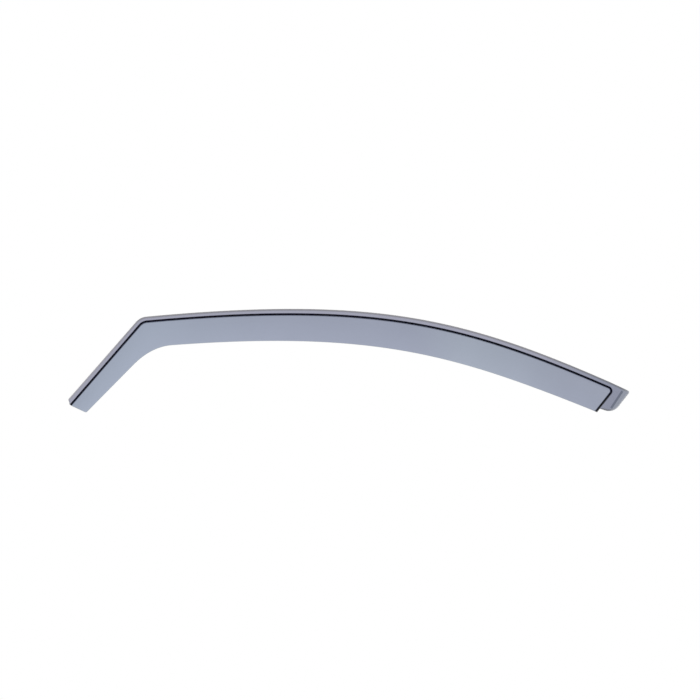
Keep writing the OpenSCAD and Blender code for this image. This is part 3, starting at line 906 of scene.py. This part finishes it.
class DEFLECTOR_OT_sheet(Operator):
    """Builds the deflector: one formed sheet of smoked acrylic"""
    bl_idname = "deflector.sheet"
    bl_label = "Formed sheet"

    def execute(self, context):
        d = context.scene.deflector
        points, faces, masks, slots, sharp = sheet_arrays(d)
        if volume_of(points, faces) <= 0:
            raise RuntimeError("the sheet is inside out")
        mesh = mesh_of("deflector_sheet", points, faces, masks, slots, sharp)
        mesh.materials.append(smoked_acrylic(d))
        mesh.materials.append(routed_acrylic(d))
        piece = in_scene("deflector_sheet", mesh)
        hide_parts("deflector")
        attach(piece, "root")
        return {"FINISHED"}


class DEFLECTOR_OT_studio(Operator):
    """Builds the studio: a pale floor, soft lamps, an even white surround and the camera"""
    bl_idname = "deflector.studio"
    bl_label = "Studio"

    def execute(self, context):
        d = context.scene.deflector
        floor(d)
        surround(d)
        lamps(d)
        camera(d)
        return {"FINISHED"}


def seen_ray(tree):
    """1 for the rays that show the background: camera, mirror and see-through rays."""
    path = add_node(tree, "ShaderNodeLightPath").outputs
    seen = path["Is Camera Ray"]
    for kind in ("Is Glossy Ray", "Is Transmission Ray"):
        seen = add_node(tree, "ShaderNodeMath", {0: seen, 1: path[kind]},
                        operation="MAXIMUM").outputs[0]
    return seen


def floor(d):
    """A plain pale floor, well below the part, which hangs where its channel would hold it.

    Towards its rim it grows white as the background is, so that no edge of it shows.
    """
    studio = d.studio
    low = CAD_BOX[0].z - studio.floor_drop
    half = studio.floor_size / 2
    corners = np.array([[-1, -1, 0], [1, -1, 0], [1, 1, 0], [-1, 1, 0]]) * half
    mesh = mesh_of("floor", corners + [studio.aim_x, 0, low], np.array([[0, 1, 2, 3]]))
    plane = in_scene("floor", mesh)
    material = bpy.data.materials.new("matt_floor")
    tree = empty_tree(material)
    matt = add_node(tree, "ShaderNodeBsdfDiffuse", {"Color": (*studio.floor_colour, 1)})
    white = add_node(tree, "ShaderNodeEmission", {"Strength": 1.0})

    # The floor's nearest point to the origin lies straight below it
    place = add_node(tree, "ShaderNodeTexCoord").outputs["Object"]
    apart = add_node(tree, "ShaderNodeVectorMath", {0: place}, operation="LENGTH")
    fade = add_node(tree, "ShaderNodeMapRange",
                    {"Value": apart.outputs["Value"], "From Min": -low, "From Max": half,
                     "To Min": studio.floor_white}, interpolation_type="SMOOTHSTEP")
    both = add_node(tree, "ShaderNodeMixShader",
                    {0: product(tree, seen_ray(tree), fade.outputs[0]), 1: matt.outputs[0],
                     2: white.outputs[0]})
    add_node(tree, "ShaderNodeOutputMaterial", {"Surface": both.outputs[0]})
    mesh.materials.append(material)


def surround(d):
    """An even white surround that is full white where it is seen.

    As light it is weaker, and faces mirror it white behind the part and dark in front, as in a
    studio whose white backdrop is lit and whose camera side is not.
    """
    world = bpy.data.worlds.new("surround")
    bpy.context.scene.world = world
    tree = empty_tree(world)
    path = add_node(tree, "ShaderNodeLightPath").outputs
    way = add_node(tree, "ShaderNodeSeparateXYZ",
                   {0: add_node(tree, "ShaderNodeTexCoord").outputs["Generated"]})
    behind = add_node(tree, "ShaderNodeMapRange",
                      {"Value": way.outputs["Y"], "From Min": BACKDROP[0],
                       "From Max": BACKDROP[1], "To Min": d.studio.front},
                      interpolation_type="SMOOTHSTEP")
    mirrored = add_node(tree, "ShaderNodeMix",
                        {"Factor": path["Is Glossy Ray"], NUMBER_A: d.studio.ambient,
                         NUMBER_B: behind.outputs[0]}, data_type="FLOAT")
    seen = add_node(tree, "ShaderNodeMath",
                    {0: path["Is Camera Ray"], 1: path["Is Transmission Ray"]},
                    operation="MAXIMUM")
    strength = add_node(tree, "ShaderNodeMix",
                        {"Factor": seen.outputs[0], NUMBER_A: mirrored.outputs[0],
                         NUMBER_B: 1.0}, data_type="FLOAT")
    light = add_node(tree, "ShaderNodeBackground",
                     {"Color": (1, 1, 1, 1), "Strength": strength.outputs[0]})
    add_node(tree, "ShaderNodeOutputWorld", {"Surface": light.outputs[0]})


def lamps(d):
    """Soft lamps above and to either side, which the polished faces don't mirror."""
    aim = Vector((d.studio.aim_x, 0, d.studio.aim_z))
    for name, place, size, power in LAMPS:
        light = bpy.data.lights.new(name, "AREA")
        light.size, light.energy = size, power
        lamp = in_scene(name, light)
        lamp.location = aim + Vector(place)
        lamp.rotation_euler = (aim - lamp.location).to_track_quat("-Z", "Y").to_euler()
        lamp.visible_camera = lamp.visible_glossy = False


def camera(d):
    """A camera square on to the outer face, so far off that all of it is seen square."""
    studio = d.studio
    view = bpy.data.cameras.new("camera")
    view.lens, view.sensor_width = studio.lens, SENSOR
    distance = studio.frame_w * studio.lens / SENSOR
    view.clip_end = 2 * distance
    eye = in_scene("camera", view)
    eye.location = (studio.aim_x, -distance, studio.aim_z)
    eye.rotation_euler = (QUARTER, 0, 0)
    bpy.context.scene.camera = eye
    bpy.context.scene.view_settings.view_transform = "Standard"


class DEFLECTOR_PT_sidebar(Panel):
    """Lists the operators and the sizes"""
    bl_idname = "DEFLECTOR_PT_sidebar"
    bl_label = "Window rain deflector"
    bl_space_type = "VIEW_3D"
    bl_region_type = "UI"
    bl_category = "Deflector"

    def draw(self, context):
        for operator in OPERATORS:
            self.layout.operator(operator.bl_idname)
        for name, group in zip(DeflectorSettings.__annotations__, GROUPS):
            box = self.layout.box()
            box.label(text=group.__doc__)
            for setting in group.__annotations__:
                box.prop(getattr(context.scene.deflector, name), setting)


# The groups in the order in which the settings hold them, and last the settings themselves
GROUPS = (SheetSizes, RoofSizes, FlangeSizes, VisorSizes, LegSizes, TongueSizes, AcrylicFinish,
          StudioSettings, DeflectorSettings)
OPERATORS = (DEFLECTOR_OT_sheet, DEFLECTOR_OT_studio)


def register():
    """Registers the classes and hangs the settings on the scene."""
    for kind in (*GROUPS, *OPERATORS, DEFLECTOR_PT_sidebar):
        bpy.utils.register_class(kind)
    bpy.types.Scene.deflector = PointerProperty(type=DeflectorSettings)


def unregister():
    """Takes back what register did."""
    del bpy.types.Scene.deflector
    for kind in (DEFLECTOR_PT_sidebar, *reversed(OPERATORS), *reversed(GROUPS)):
        bpy.utils.unregister_class(kind)


def main():
    register()
    bpy.ops.deflector.sheet()
    bpy.ops.deflector.studio()


if __name__ == "__main__":
    main()
